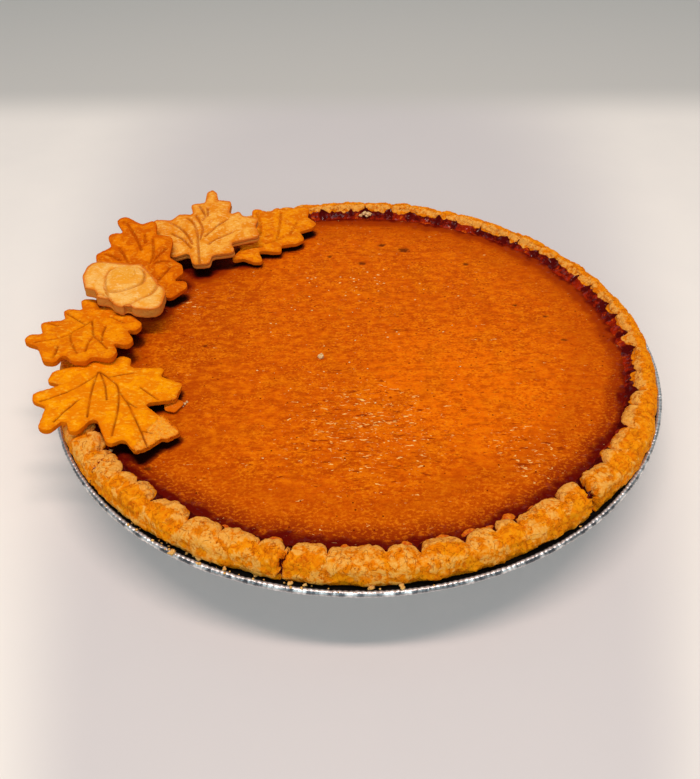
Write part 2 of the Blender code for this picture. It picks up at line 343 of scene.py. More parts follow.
def makeTin():
    shape = turned(tinSection(), tin["crimps"] * 4)
    grimeAndGapShade = shape.verts.layers.float.new("grimeAndGapShade")
    paintedDarkReflection = shape.verts.layers.float.new("paintedDarkReflection")
    middle, height = tin["bead"]
    for vert in shape.verts:
        place = vert.co / mm
        radius = math.hypot(place.x, place.y)
        turn = math.radians(around(place))
        out = Vector((math.cos(turn), math.sin(turn), 0))
        if radius > tin["beadFrom"]:
            # fine crimps on the rolled edge, each of its own depth
            which = math.floor(turn / math.tau * tin["crimps"])
            depth = tin["crimpDepth"] * (0.4 + 0.6 * chance(which, 3))
            wave = math.cos(turn * tin["crimps"] + 1.6 * noise.noise(out * 60.0))
            front = ease(-out.y, 0.2, 0.8)
            dent = tin["dent"] * abs(noise.noise(Vector((out.x * 22, out.y * 22, 4.0))))
            spoke = Vector((out.x * (radius - middle), out.y * (radius - middle), place.z - height))
            place -= spoke.normalized() * (depth * (1 - wave) + dent)
            place.z += tin["unevenness"] * noise.noise(Vector((out.x * 5, out.y * 5, 9.0)))
            # painted reflection: dark patches on the outer side, more at the front, and down in the crimps,
            # stand in for dark surroundings mirrored in the foil
            bend = math.degrees(math.atan2(spoke.z, radius - middle))
            low = ease(bend, 84, 62) * ease(bend, -2, 14)
            blot = ease(noise.noise(Vector((out.x * 34, out.y * 34, 1.0))), -0.3, 0.05)
            own = chance(which, 7)
            vert[paintedDarkReflection] = clamp(blot * low * (0.6 + 0.6 * own) * (0.3 + 0.7 * front)
                                + ease(wave, 0.0, -0.9) * (0.05 + 0.35 * own))
            # painted shade and grime: the bead's inner edge, wider at the front, is dark like the shaded gap
            # beside the crust
            vert[grimeAndGapShade] = ease(radius, 123.0 + 0.5 * front, 122.7 + 0.5 * front)
        elif radius > 96.5 and place.z < 27 and vert.normal.z < 0.1:
            # pleats that the wall gets when the sheet is drawn
            wave = math.sin(turn * tin["pleats"] + 2.2 * noise.noise(Vector((out.x * 9, out.y * 9, 2))))
            place += out * (tin["pleatDepth"] * wave * clamp((place.z - 1) / 18) * clamp((28 - place.z) / 2))
        # painted shade and grime: the flat flange under the crust is dark all over
        elif place.z > 27.2:
            vert[grimeAndGapShade] = 1.0
        vert.co = place * mm

    foil = Finish("foil")
    crinkle = foil.grain(1.6, 3, 0.6)
    scratch = foil.grain(0.5, 2)
    grimeAndShade = foil.painted("grimeAndGapShade")
    metal = foil.mix(crinkle, tone(226, 222, 220), tone(250, 246, 244))
    # painted reflection: the dark mirrored patches on the foil
    metal = foil.mix(foil.painted("paintedDarkReflection") * 0.9, metal, tone(52, 57, 66))
    # painted shade and grime: near black, for the shaded gap and baked-on grease
    burnt = foil.mix(foil.between(foil.grain(2.5, 3), 0.55, 0.75), tone(8, 7, 6), tone(24, 14, 8))
    material = foil.shade({
        "Base Color": foil.mix(grimeAndShade, metal, burnt),
        "Metallic": 1.0 - grimeAndShade,
        "Roughness": 0.28 + crinkle * 0.16 + grimeAndShade * 0.5,
        "Specular IOR Level": 0.1,
        "Normal": foil.bump(scratch, 0.05, foil.bump(crinkle, 0.25))})
    return finished("foilTin", shape, material, "pie_tin")


makeTin()


# ---- crust

crust = {
    "flutes": 58,
    "stepsPerFlute": 22,
    "spacing": 0.5,
    "lobeReach": 2.9,
    # how far out the inner lip stands from the plain section, and how much more behind
    "lipBack": 0.9,
    "lipBackBehind": 1.8,
    "notchDepth": 1.2,
    "backLift": 1.0,
    # lumps, flaky chunks, smooth islands and grain: their sizes and how far they stand out
    "lump": 7.0,
    "lumpRelief": 0.9,
    "chunk": 3.2,
    "chunkRelief": 0.28,
    "island": 8.0,
    "islandRelief": 0.22,
    "grainRelief": 0.32,
    "footPush": 0.9,
    "sideReach": 1.4,
    # nothing low on the rim goes further out than this, where the rolled edge starts
    "footLimit": 122.3,
    # the top of the syrup on the inner wall between the lobes, and how much lower it is on one
    "filmTop": 35.7,
    "filmDip": 2.2,
    # where the rim has split: direction, widest half width, depth, wander, and slant across the rim
    "cracks": [
        {"around": 259.4, "half": 0.8, "depth": 2.8, "wander": 0.9, "slant": -0.12},
        {"around": 310.2, "half": 1.9, "depth": 3.8, "wander": 1.0, "slant": -0.08},
        {"around": 221.0, "half": 0.5, "depth": 1.3, "wander": 0.6, "slant": 0.25},
    ],
}


def crustSection():
    inner = [(0, 3.95), (50, 3.95), (87, 3.95), (91, 5.95), (97, 13.5), (103, 21), (108.8, 29.3)]
    rim = [(108.8, 29.3), (110.2, 31.2), (111.0, 33.0), (111.9, 34.8), (113.6, 36.0), (116.4, 36.35),
           (119.0, 36.0), (120.5, 34.6), (120.9, 32.2), (120.6, 29.8), (120.0, 27.9)]
    outer = [(120.0, 27.9), (118, 27.75), (116.2, 27.75), (114.2, 26.2), (108, 18), (101, 9.2), (95.8, 2.75),
             (93.4, 0.75), (50, 0.75), (0, 0.75)]
    line = [(point.x, point.y) for point in smoothLine(rim, crust["spacing"])]
    return inner[:-1] + line + outer[1:]


def crackNear(place, radius, angle):
    # 0 away from every crack and 1 along the middle of one, with the depth there
    strongest, deepest = 0.0, 0.0
    for crack in crust["cracks"]:
        aside = wrapped(angle - crack["around"] - crack["slant"] * (radius - 117))
        if abs(aside) > 4:
            continue
        wander = crack["wander"] * noise.noise(Vector((radius / 1.7, place.z / 1.7, crack["around"])))
        distance = abs(math.radians(aside) * radius + wander)
        width = crack["half"] * (0.5 + 0.9 * abs(noise.noise(Vector((place.z / 2, radius / 2, 1)))))
        here = ease(distance, width * 1.9, width * 0.5)
        if here > strongest:
            strongest, deepest = here, crack["depth"]
    return strongest, deepest


def makeCrust():
    shape = turned(crustSection(), crust["flutes"] * crust["stepsPerFlute"])
    film = shape.verts.layers.float.new("film")
    pale = shape.verts.layers.float.new("pale")
    crevice = shape.verts.layers.float.new("crevice")
    wine = shape.verts.layers.float.new("wine")
    shape.normal_update()
    for vert in shape.verts:
        place = vert.co / mm
        radius = math.hypot(place.x, place.y)
        if place.z < 27.4 or radius < 108:
            # the wall and the floor stay as turned
            continue
        angle = around(place)
        turn = math.radians(angle)
        out = Vector((math.cos(turn), math.sin(turn), 0))
        across = Vector((-out.y, out.x, 0))
        rise = ease(place.z, 30.8, 34.8)
        inward = ease(radius, 119.5, 111.5)

        # flutes: rounded lobes with a notch between, no two alike
        count = turn / math.tau * crust["flutes"] + 0.7 * noise.noise(out * 8.0)
        count += 0.1 * math.sin(math.tau * count)
        behind = ease(math.cos(turn - 0.84), 0.15, 0.6)
        aside = ease(math.cos(turn - 0.5), 0.5, 0.85)
        which = math.floor(count)
        one = chance(which, 11)
        two = chance(which, 23)
        lobe = abs(math.sin(math.pi * count)) ** 0.5
        reach = crust["lobeReach"] * (0.6 + 0.8 * one) * (1 - 0.3 * behind)
        back = crust["lipBack"] + crust["lipBackBehind"] * behind + 0.7 * noise.noise(place / 1.9)
        move = out * ((back - (lobe - 0.62) * reach) * rise * inward)
        move.z -= crust["notchDepth"] * (1 - lobe) ** 1.5 * rise * (0.5 + 0.5 * inward) * (0.5 + two)
        move.z += 0.7 * (one - 0.5) * rise
        move.z += crust["backLift"] * (ease(out.y, 0.75, 1.0) - 0.25 * aside) * rise
        beside = ease(abs(out.x), 0.4, 0.95) * (1 - aside)
        move += out * ((0.5 * (two - 0.5) + crust["sideReach"] * beside) * (1 - inward))

        # lumps with creases between them, their tops paler where the dough is smooth
        lump = noise.noise(place / crust["lump"])
        patch = noise.fractal(place / crust["island"], 0.9, 2.1, 3)
        smooth = ease(patch, -0.18, 0.1)
        near, far = noise.voronoi(place / crust["chunk"] + noise.noise_vector(place / 2.4) * 0.45)[0][:2]
        seam = 1 - ease(far - near, 0.02, 0.22)
        island = smooth * (0.55 + 0.45 * ease(far - near, 0.06, 0.3))
        rough = 1 - smooth
        crumb = noise.fractal(place / 1.4, 0.7, 2.0, 3)
        relief = crust["lumpRelief"] * lump + crust["islandRelief"] * island
        relief += 0.3 * (lobe - 0.6) * ease(place.z, 29, 33)
        relief -= crust["chunkRelief"] * seam * (0.25 + 0.75 * rough)
        relief += crust["grainRelief"] * crumb * (0.3 + 0.7 * rough)
        split, depth = crackNear(place, radius, angle)
        relief -= split * depth
        wrinkle = ease(abs(noise.noise(place / 2.2 + Vector((3, 1, 7)))), 0.10, 0.0)
        relief -= 0.16 * wrinkle * island
        low = ease(place.z, 33.5, 30.0) * (1 - inward)
        relief += low * 0.45 * noise.noise(place / 2.6)
        move += out * low * (crust["footPush"] + 0.4 * noise.noise(out * 9.0))
        move.z -= 0.3 * low
        relief *= ease(place.z, 29.5, 31.5) if radius < 112 else ease(place.z, 27.4, 28.6)
        moved = place + move + vert.normal * relief + across * (0.25 * crumb * rough)
        reached = math.hypot(moved.x, moved.y)
        if moved.z < 29.8 and reached > crust["footLimit"]:
            moved -= out * (reached - crust["footLimit"])
        vert.co = moved * mm

        # dark syrup climbs the inner wall, highest between the lobes, where it is darkest as syrup and
        # painted shade in the notches together
        filmTop = crust["filmTop"] - crust["filmDip"] * lobe * (0.5 + 0.6 * one)
        filmTop += 0.9 * noise.noise(place / 2.2)
        filmEdge = 115.4 - 1.6 * lobe
        vert[film] = ease(place.z, filmTop + 0.5, filmTop - 0.5) * ease(radius, filmEdge, filmEdge - 1.4)
        vert[film] = max(vert[film], ease(split, 0.45, 0.85))
        vert[wine] = 0.75 * ease(lobe, 0.6, 0.95) * (0.3 + 0.7 * two) + 0.4 * ease(place.z, 32.6, 31.2)
        lip = ease(radius, 115.6, 113.6) * ease(place.z, 34.0, 35.0) * ease(lobe, 0.2, 0.6)
        golden = 0.8 * ease(math.cos(turn - 0.6), 0.1, 0.6) * ease(radius, 114.5, 117)
        vert[pale] = clamp(max(0.85 * island * (1 - golden), lip * (0.6 + 0.6 * one))
                           + 0.12 * ease(math.cos(turn - 3.8), 0.4, 0.9))
        vert[crevice] = clamp(seam * (0.3 + 0.7 * rough) * ease(noise.noise(place / 4 + out), -0.1, 0.3))

    dough = Finish("pastry")
    speck = dough.grain(0.8, 4, 0.65)
    blotch = dough.grain(2.8, 4, 0.6, 0.6)
    patches = dough.between(dough.painted("pale") + (blotch - 0.5) * 2.6 + (speck - 0.5) * 0.5, 0.38, 0.9)
    baked = dough.mix(dough.between(blotch, 0.42, 0.58), tone(236, 126, 4), tone(244, 146, 10))
    baked = dough.mix(dough.between(dough.grain(1.9, 3, 0.6), 0.56, 0.66) * 0.7, baked, tone(218, 98, 4))
    baked = dough.mix(dough.between(speck, 0.54, 0.68) * 0.4, baked, tone(246, 168, 40))
    baked = dough.mix(dough.between(speck, 0.46, 0.32) * 0.5, baked, tone(222, 104, 4))
    light = dough.mix(dough.between(speck, 0.40, 0.60), tone(236, 158, 58), tone(243, 176, 84))
    skin = dough.mix(patches * 0.85, baked, light)
    lines = dough.creases(4.0, 1.0) * dough.between(speck, 0.42, 0.5)
    finer = dough.creases(2.2, 1.4) * dough.between(blotch, 0.5, 0.44)
    skin = dough.mix(lines * 0.7, skin, tone(196, 88, 6))
    skin = dough.mix(finer * 0.6, skin, tone(200, 92, 6))
    skin = dough.mix(dough.between(dough.cells(3.2), 0.12, 0.05) * 0.6, skin, tone(150, 48, 4))
    skin = dough.mix(dough.painted("crevice") * 0.6, skin, tone(176, 74, 4))
    # dark maroon in the notches is syrup and painted shade; redder under the lobes
    drip = dough.between(dough.painted("wine") + (blotch - 0.5) * 1.6 + (speck - 0.5) * 0.8, 0.2, 0.9)
    syrup = dough.mix(drip, tone(84, 9, 7), tone(164, 36, 5))
    orange = dough.between(dough.grain(3.2, 3, 0.6, 0.4), 0.58, 0.66)
    syrup = dough.mix(orange * drip, syrup, tone(214, 84, 10))
    glazed = dough.between(dough.painted("film") + (speck - 0.5) * 0.3, 0.35, 0.65)
    fine = dough.grain(0.45, 3, 0.6)
    material = dough.shade({
        "Base Color": dough.mix(glazed, skin, syrup),
        "Roughness": 0.75,
        "Specular IOR Level": 0.02,
        "Coat Weight": glazed * dough.between(dough.grain(1.8, 3), 0.54, 0.62) * 0.6,
        "Coat Roughness": 0.2,
        "Normal": dough.bump(fine, 0.08, dough.bump(speck * 0.7 - lines * 0.5 - finer * 0.3, 0.3))})
    return finished("flutedCrust", shape, material, "crust")


makeCrust()


# ---- custard

custard = {
    "across": 300,
    "radius": 111.3,
    "top": 31.0,
    "dish": 0.5,
    "swell": 0.35,
    "ripple": 0.10,
    "foot": [(108.5, 29.4), (91, 7), (86, 4.4)],
    # painted light: where a pool of light is painted brightest, how far to the left painted shade dims it,
    # and where its skin is most wrinkled, with painted highlights streaked by the rose
    "paintedLightPool": (44, -30, 66),
    "paintedDim": (-25, -85),
    "wrinklesAndSheen": [(3, -56, 46), (-78, 28, 18), (62, -66, 22)],
    # burnt or torn spots in the skin: place across and back from the middle, and half length
    "marks": [(24.1, 76.6, 3.4), (2.5, 63.7, 2.2), (13.0, 81.9, 2.4), (-13.7, 70.7, 1.4),
              (54.2, 62.4, 2.0), (84.1, 17.0, 1.4), (88.5, -1.1, 1.5), (72.2, 25.8, 1.4),
              (-73.1, -75.4, 1.6), (-64.9, -4.1, 1.3)],
    # dark syrup that has run out from under the cut-outs, and painted shade beside them: place and reach
    "syrupStainsAndShade": [(-76, 59, 21), (-56, 67, 13), (-85, 42, 13), (-91, 21, 12), (-97, 3, 9), (-98, -8, 6),
               (-87, -66, 13), (-75, -53, 6), (-78, -43, 5)],
    # painted shadow: how near above a cut-out must be for a spot to be painted dark as in its shade, and the
    # steps aside and ahead that are tried as well, so that the painted shadow fades out at its edge
    "shelterReach": 9,
    "shelter": [(0, 0), (0, 1.0), (0, 2.2), (-1.2, 0.4), (1.2, 0.4)],
}


def sheltering():
    # all the cut-outs as one tree, to ask what lies above a spot on the custard
    corners, faces = [], []
    for node in ("maple_leaf_front", "oak_leaf", "rose_cookie", "maple_leaf_left", "maple_leaf_back",
                 "maple_leaf_right"):
        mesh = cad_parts[node].data
        first = len(corners)
        corners += [vert.co / mm for vert in mesh.vertices]
        faces += [[first + i for i in face.vertices] for face in mesh.polygons]
    return BVHTree.FromPolygons(corners, faces)


def makeCustard():
    shape = bmesh.new()
    bmesh.ops.create_grid(shape, x_segments=custard["across"], y_segments=custard["across"], size=1)
    scorch = shape.verts.layers.float.new("scorch")
    baked = shape.verts.layers.float.new("baked")
    paintedLightPool = shape.verts.layers.float.new("paintedLightPool")
    wrinklesAndSheen = shape.verts.layers.float.new("wrinklesAndSheen")
    under = shape.verts.layers.float.new("under")
    grit = shape.verts.layers.float.new("grit")
    above = sheltering()
    for vert in shape.verts:
        # the square grid is drawn out into a disc with even faces
        x, y = vert.co.x, vert.co.y
        if abs(x) > abs(y):
            radius, turn = x, math.pi / 4 * y / x
        elif y:
            radius, turn = y, math.pi / 2 - math.pi / 4 * x / y
        else:
            radius, turn = 0.0, 0.0
        place = Vector((math.cos(turn), math.sin(turn), 0)) * radius * custard["radius"]
        radius = place.length
        drawn = Vector((place.x / 4.5, place.y, 0))
        height = custard["top"] - custard["dish"] * ease(radius, 90, 20)
        height += custard["swell"] * noise.noise(place / 26)
        edge = ease(radius, 104.5, 110.5)
        height += custard["ripple"] * noise.fractal(drawn / 1.9, 0.7, 2.1, 3) * (1 - edge)
        height += 0.12 * noise.fractal(place / 5, 0.8, 2.0, 2)
        height += edge * (0.55 + 0.75 * noise.noise(place / 3.2))
        height -= 0.35 * ease(abs(radius - 104.0 - 1.5 * noise.noise(place / 12)), 2.2, 0.0)
        burnt = 0.0
        for x, y, half in custard["marks"]:
            aside = Vector(((place.x - x) / half, (place.y - y) / (half * 0.8)))
            if aside.length < 2:
                wobble = 0.45 * noise.noise(place / 1.1)
                burnt = max(burnt, ease(aside.length + wobble, 1.1, 0.4))
        out = place.normalized()
        edging = radius + 2.5 * ease(-out.y, 0.1, 0.9)
        edging += 2.4 * noise.noise(place / 14) + 1.6 * noise.noise(place / 4) * ease(radius, 94, 100)
        brownedAndShaded = 0.22 * ease(edging, 82, 96) + 0.78 * ease(edging, 99, 112.5)
        # syrup stains beside the cut-outs, darkened further as painted shade
        for x, y, reach in custard["syrupStainsAndShade"]:
            aside = math.hypot(place.x - x, place.y - y) + 2.5 * noise.noise(place / 6)
            brownedAndShaded = max(brownedAndShaded, 0.95 * ease(aside, reach, reach * 0.3))
        vert[baked] = brownedAndShaded
        # painted light: a broad pool of light is painted on the right, and painted shade dims the left
        x, y, reach = custard["paintedLightPool"]
        high, low = custard["paintedDim"]
        vert[paintedLightPool] = 0.4 + 0.6 * ease(math.hypot(place.x - x, place.y - y), reach, reach * 0.15)
        vert[paintedLightPool] -= 0.55 * ease(place.x - 0.1 * place.y, high, low)
        # where the skin is torn and wrinkled; the region by the rose marks painted highlights instead
        vert[wrinklesAndSheen] = max(ease(math.hypot(place.x - x, place.y - y), reach, reach * 0.3)
                         for x, y, reach in custard["wrinklesAndSheen"])
        # painted shadow: a spot with a cut-out close above it is marked, to be painted dark as if in its
        # shade
        if place.x < -15 and place.y > -85:
            gaps = [above.ray_cast(place + Vector((across, ahead, 30)), Vector((0, 0, 1)),
                                   custard["shelterReach"])[3]
                    for across, ahead in custard["shelter"]]
            vert[under] = sum(1 - 0.5 * ease(gap, 5, 9) for gap in gaps if gap is not None) / len(gaps)
        vert[grit] = ease(radius, 88, 101) * ease(-out.y, -0.1, 0.6)
        vert[scorch] = burnt
        place.z = height - 0.25 * burnt
        vert.co = place * mm

    # a side and a flat base close it
    for radius, height in custard["foot"]:
        rim = [edge for edge in shape.edges if edge.is_boundary]
        made = bmesh.ops.extrude_edge_only(shape, edges=rim)["geom"]
        for vert in [part for part in made if isinstance(part, bmesh.types.BMVert)]:
            out = Vector((vert.co.x, vert.co.y, 0)).normalized()
            vert.co = (out * radius + Vector((0, 0, height))) * mm
    rim = [edge for edge in shape.edges if edge.is_boundary]
    bmesh.ops.edgeloop_fill(shape, edges=rim)
    bmesh.ops.recalc_face_normals(shape, faces=shape.faces)

    skin = Finish("custard")
    fine = skin.grain(0.85, 3, 0.6, 0, skin.stretched(1.3, 1, 1))
    mottle = skin.grain(3.0, 4, 0.6, 0, skin.stretched(1.3, 1, 1))
    wide = skin.grain(24, 3, 0.55)
    lines = skin.grain(1.5, 3, 0.55, 0.5, skin.stretched(3.4, 1, 1))
    lightStroke = skin.grain(0.95, 3, 0.5, 0.9, skin.stretched(2.8, 1, 1))
    darkStroke = skin.grain(1.3, 3, 0.5, 0.8, skin.stretched(4.5, 1, 1))
    torn = skin.painted("wrinklesAndSheen")
    grainy = skin.between(skin.grain(9, 3, 0.6), 0.38, 0.58)
    brownedAndShaded = skin.painted("baked") + (mottle - 0.5) * 0.35
    # painted light and shade: brighter in the painted pool of light, dimmer to the left
    bright = skin.painted("paintedLightPool") + (wide - 0.5) * 0.8
    colour = skin.mix(skin.between(bright, 0.45, 0.95), tone(214, 90, 2), tone(236, 106, 2))
    colour = skin.mix(skin.between(bright, 0.40, 0.0) * 0.8, colour, tone(188, 74, 2))
    colour = skin.mix(skin.between(skin.grain(17, 3, 0.6), 0.50, 0.62) * 0.5, colour, tone(208, 96, 2))
    colour = skin.mix(skin.between(mottle, 0.51, 0.62) * 0.45, colour, tone(246, 126, 4))
    colour = skin.mix(skin.between(mottle, 0.49, 0.38) * 0.55, colour, tone(180, 66, 1))
    colour = skin.mix(skin.between(lines, 0.52, 0.64) * 0.22, colour, tone(250, 134, 8))
    colour = skin.mix(skin.between(lines, 0.48, 0.36) * 0.32, colour, tone(172, 60, 1))
    colour = skin.mix(skin.between(fine, 0.52, 0.66) * (grainy * 0.4 + 0.12), colour, tone(253, 146, 18))
    colour = skin.mix(skin.between(fine, 0.48, 0.35) * (grainy * 0.35 + 0.2), colour, tone(166, 58, 1))
    # the browned edge and the stains darken in steps; at the stains this is syrup and painted shade together
    colour = skin.mix(skin.between(brownedAndShaded, 0.0, 0.32) * 0.45, colour, tone(176, 66, 1))
    colour = skin.mix(skin.between(brownedAndShaded, 0.3, 0.7) * 0.9, colour, tone(150, 46, 2))
    granules = skin.painted("grit") * skin.between(fine, 0.5, 0.62)
    colour = skin.mix(granules * 0.45, colour, tone(238, 126, 16))
    colour = skin.mix(skin.between(brownedAndShaded, 0.76, 1.0), colour, tone(98, 11, 3))
    # pale strokes: light flecks of torn skin, and by the rose painted highlights in streaks
    colour = skin.mix(skin.between(lightStroke, 0.71 - torn * 0.085, 0.76 - torn * 0.085) * 0.85, colour,
                      tone(255, 204, 118))
    colour = skin.mix(skin.between(darkStroke, 0.33 + torn * 0.08, 0.27 + torn * 0.08) * 0.8, colour,
                      tone(138, 40, 2))
    pit = skin.between(skin.cells(3.4), 0.12, 0.07) * skin.between(mottle, 0.5, 0.55)
    colour = skin.mix(pit * 0.9, colour, tone(104, 12, 2))
    colour = skin.mix(skin.painted("scorch") * 0.85, colour, tone(92, 34, 5))
    # painted shadow: dark red, then near black, beneath and just beside the cut-outs
    colour = skin.mix(skin.between(skin.painted("under"), 0.0, 0.5) * 0.8, colour, tone(96, 14, 4))
    colour = skin.mix(skin.between(skin.painted("under"), 0.4, 1.0) * 0.95, colour, tone(18, 3, 2))
    relief = lightStroke * 0.6 + darkStroke * 0.5 + fine * 0.3 - pit * 0.6
    gloss = skin.between(brownedAndShaded, 0.5, 0.85) * skin.between(skin.grain(2.2, 3, 0.6), 0.57, 0.64)
    material = skin.shade({
        "Base Color": colour,
        "Roughness": 0.5,
        "Specular IOR Level": 0.01,
        "Coat Weight": gloss * 0.3,
        "Coat Roughness": 0.12,
        "Normal": skin.bump(relief, 0.35)})
    return finished("pumpkinCustard", shape, material, "filling")


makeCustard()


# ---- pastry cut-outs

# place, lean and turn say how each one lies: the middle of its top, its slope and the way
# that it rises, and where its tip points. Veins are lines pressed into the top, seen flat.
# Tones are its main, browner and paler colours; bake browns its edges and ink its veins;
# groove is a vein's half width and depth, and pillow how far the edges and veins sink.
cutOuts = {
    "maple_leaf_front": {
        "piece": "frontMapleLeaf", "slot": "golden_pastry",
        "place": (-91, -47, 38.4), "lean": (7, -155), "turn": -80,
        "tones": [(252, 154, 2), (238, 127, 2), (254, 184, 50)], "sideTone": (212, 102, 5),
        "bake": 0.35, "ink": 0.9, "groove": (0.33, 0.6),
        # past this line the top has flaked off: a point on it, and the way to the broken part
        "broken": ((-14.0, 16.5), (-0.9, 0.45), 1.6),
        "veins": [
            [(7.2, -17.4), (8.3, -6), (8.2, 9.8)],
            [(6.7, -17.4), (2.6, -12.7), (-1, -7.2), (-2.1, 6.3), (-1.2, 20.2)],
            [(-1.7, -4.6), (-5.9, 4), (-9, 13), (-13.6, 26)],
            [(6.7, -17.4), (4, -9.2), (2.4, 0.3)],
            [(7.5, -15.6), (11.5, -10.3), (16.9, -5.3), (26, -0.2)],
            [(12.3, -0.1), (16, 5.5), (19.4, 11.6)],
            [(3.2, -13.6), (-2.4, -15.3), (-6, -16.5)],
            [(-9.3, -6.9), (-12.6, -3.3), (-16.3, 0.7)],
            [(-4.7, 1.4), (-8.5, 4.9)],
            [(-11.3, 18.5), (-14.7, 19)],
        ],
    },
    "oak_leaf": {
        "piece": "oakLeaf", "slot": "golden_pastry",
        "place": (-111, -10, 41.65), "lean": (5, -120), "turn": 0,
        "tones": [(246, 142, 3), (226, 112, 2), (252, 174, 42)], "sideTone": (208, 98, 5),
        "bake": 0.5, "ink": 0.75, "groove": (0.38, 0.6),
        "veins": [
            [(7, -18.8), (5.1, -13.2), (2.9, -9.6), (-0.2, -6.6)],
            [(-10.8, -1.3), (-5.4, -3.7), (-1.3, -6.5), (2.6, -6.1), (9.2, -2.7), (14.1, 0.4)],
            [(-10.8, -1.3), (-5.6, 0.6), (0.8, 2.9), (4.5, 6.3), (10.3, 11.3)],
            [(2, 2.7), (6.6, 2.5), (12.5, 3.1)],
            [(-6, 5.9), (-0.5, 6.3), (4.6, 7.4)],
            [(9.6, -8.6), (14.6, -8.0), (17.5, -8.2)],
            [(-14.3, 5.4), (-11.8, 9.5), (-9.8, 12.6)],
            [(-7.7, -18.6), (-5.6, -13.7)],
            [(-16.4, -14), (-11.7, -8.2), (-7.9, -3.6)],
        ],
    },
    "rose_cookie": {
        "piece": "roseCutOut", "slot": "pale_pastry",
        "place": (-101, 19, 46.45), "lean": (5, 175), "turn": 0,
        "tones": [(248, 184, 92), (244, 160, 50), (254, 204, 128)], "sideTone": (200, 128, 48),
        "bake": 0.7, "ink": 0.4, "groove": (0.5, 0.9), "pillow": 0.9,
        # its petals stand in steps: middle, half widths and how much higher
        "steps": [((-5.4, -2.1), (10.8, 8.6), 0.7), ((-7.5, -3.0), (6.4, 5.0), 0.45)],
        "notches": [(0.5, -17.2), (6.4, -10.9), (11.8, -4.4), (13.4, 3.8), (-5.5, 14.2), (-13.2, -13.6)],
        # the heart of the rose is browner than its petals
        "heart": ((-7.5, -3.0), 8.0, (240, 158, 42)),
        "veins": [
            [(-0.5, -9.3), (-6.9, -10.6), (-12.1, -9.8), (-15.2, -6.5), (-15.8, -1.8), (-14.7, 3.0),
             (-10.0, 5.8), (-4.2, 6.3), (0.1, 4.2), (3.3, 1.1), (5.0, -2.7), (5.1, -6.6), (2.6, -8.5),
             (-0.5, -9.3)],
            [(-16.7, 4.3), (-12.1, 8.9), (-6.6, 11.9), (-0.2, 12.8), (4.8, 11.3), (8.3, 8.3), (13.4, 3.8)],
            [(11.8, -4.4), (8.5, -5.7), (5.6, -7.2)],
            [(6.4, -10.9), (7.2, -8.1), (8.5, -5.7)],
        ],
    },
    "maple_leaf_left": {
        "piece": "leftMapleLeaf", "slot": "dark_pastry",
        "place": (-100, 50, 43.35), "lean": (13, 102), "turn": 110,
        "tones": [(236, 124, 3), (208, 92, 2), (248, 158, 40)], "sideTone": (200, 88, 4),
        "bake": 0.5, "ink": 0.5, "groove": (0.5, 1.0), "pillow": 0.85,
        "veins": [
            [(-6.3, 28.5), (-4.3, 23.8), (-2.1, 11.9), (-1.5, 5.5)],
            [(1.8, 15.4), (1.2, 9.8)],
            [(-11.2, 9.4), (-9.9, 4.5), (-8.8, -0.9)],
            [(-18.2, 8), (-15.1, 5), (-12.1, 1.1)],
            [(5.1, 10.7), (4, 3.8), (3, -1), (0.7, -4.8)],
            [(9.8, 3), (6.5, -0.1), (2.5, -3.9)],
            [(10.7, -6.2), (6.3, -5.1), (2.9, -5.5)],
            [(9.6, -10.1), (6, -13.9), (2.9, -16.8)],
        ],
    },
    "maple_leaf_back": {
        "piece": "backMapleLeaf", "slot": "pale_pastry",
        "place": (-75, 76, 43.5), "lean": (11, 82), "turn": 93,
        "tones": [(246, 168, 62), (232, 134, 24), (253, 198, 116)], "sideTone": (214, 136, 56),
        "bake": 0.55, "ink": 0.6, "groove": (0.45, 1.1), "pillow": 0.85, "layer": -2.1,
        "veins": [
            [(-20.3, 8.6), (-14.5, 3.5), (-10, -3), (-6.8, -10.1)],
            [(-11.3, 10.9), (-7.6, 5.9), (-5, -2.5), (-4, -10.4)],
            [(-17.9, -1.2), (-12.3, -5.7), (-7.2, -13)],
            [(-5.9, 20.4), (-2.2, 11.6), (-3.3, 8.6)],
            [(-7.2, 12.6), (-4.6, 7.2), (-2.6, 0.5), (-3.4, -7)],
            [(-1.4, 17.8), (-0.9, 11.4)],
            [(-4, -10.4), (-3, -18.1), (-2.1, -24.7)],
            [(-0.9, -4.8), (4.3, 2.7), (9.2, 7.4)],
            [(1.4, -10.9), (6.2, -6.5), (12.3, -3.1)],
        ],
    },
    "maple_leaf_right": {
        "piece": "rightMapleLeaf", "slot": "golden_pastry",
        "place": (-41, 84, 37.1), "lean": (8, 117), "turn": 90,
        "tones": [(244, 142, 6), (222, 110, 4), (252, 172, 54)], "sideTone": (212, 108, 10),
        "bake": 0.4, "ink": 0.4, "groove": (0.55, 0.65),
        "veins": [
            [(-12.3, 17.7), (-9.8, 8.7), (-8.8, 1.4), (-9.2, -2.2)],
            [(0.4, 18.9), (0.6, 8), (0.3, -6.2)],
            [(9.4, 10.5), (6.5, -0.5)],
            [(-1.4, -0.3), (-6, -3.1)],
            [(-5.1, -9.3), (-0.3, -6.3), (3.5, -2.5)],
            [(-17.4, -16.2), (-11.7, -13.2), (-6.8, -11.9)],
        ],
    },
    "leaf_crumb": {
        "piece": "brokenTip", "slot": "golden_pastry",
        "place": (-67.5, -47.5, 32.6), "lean": (0, 0), "turn": 0,
        "tones": [(240, 134, 16), (220, 104, 6), (252, 180, 84)], "sideTone": (196, 84, 4),
        "bake": 0.4, "ink": 0.5, "groove": (0.4, 0.4),
        # its right end has crumbled off: what is left of it along each axis, and its shift
        "left": (0.66, 0.85, 1.0), "shift": (0.0, 2.4, 0.3),
        "veins": [],
    },
}

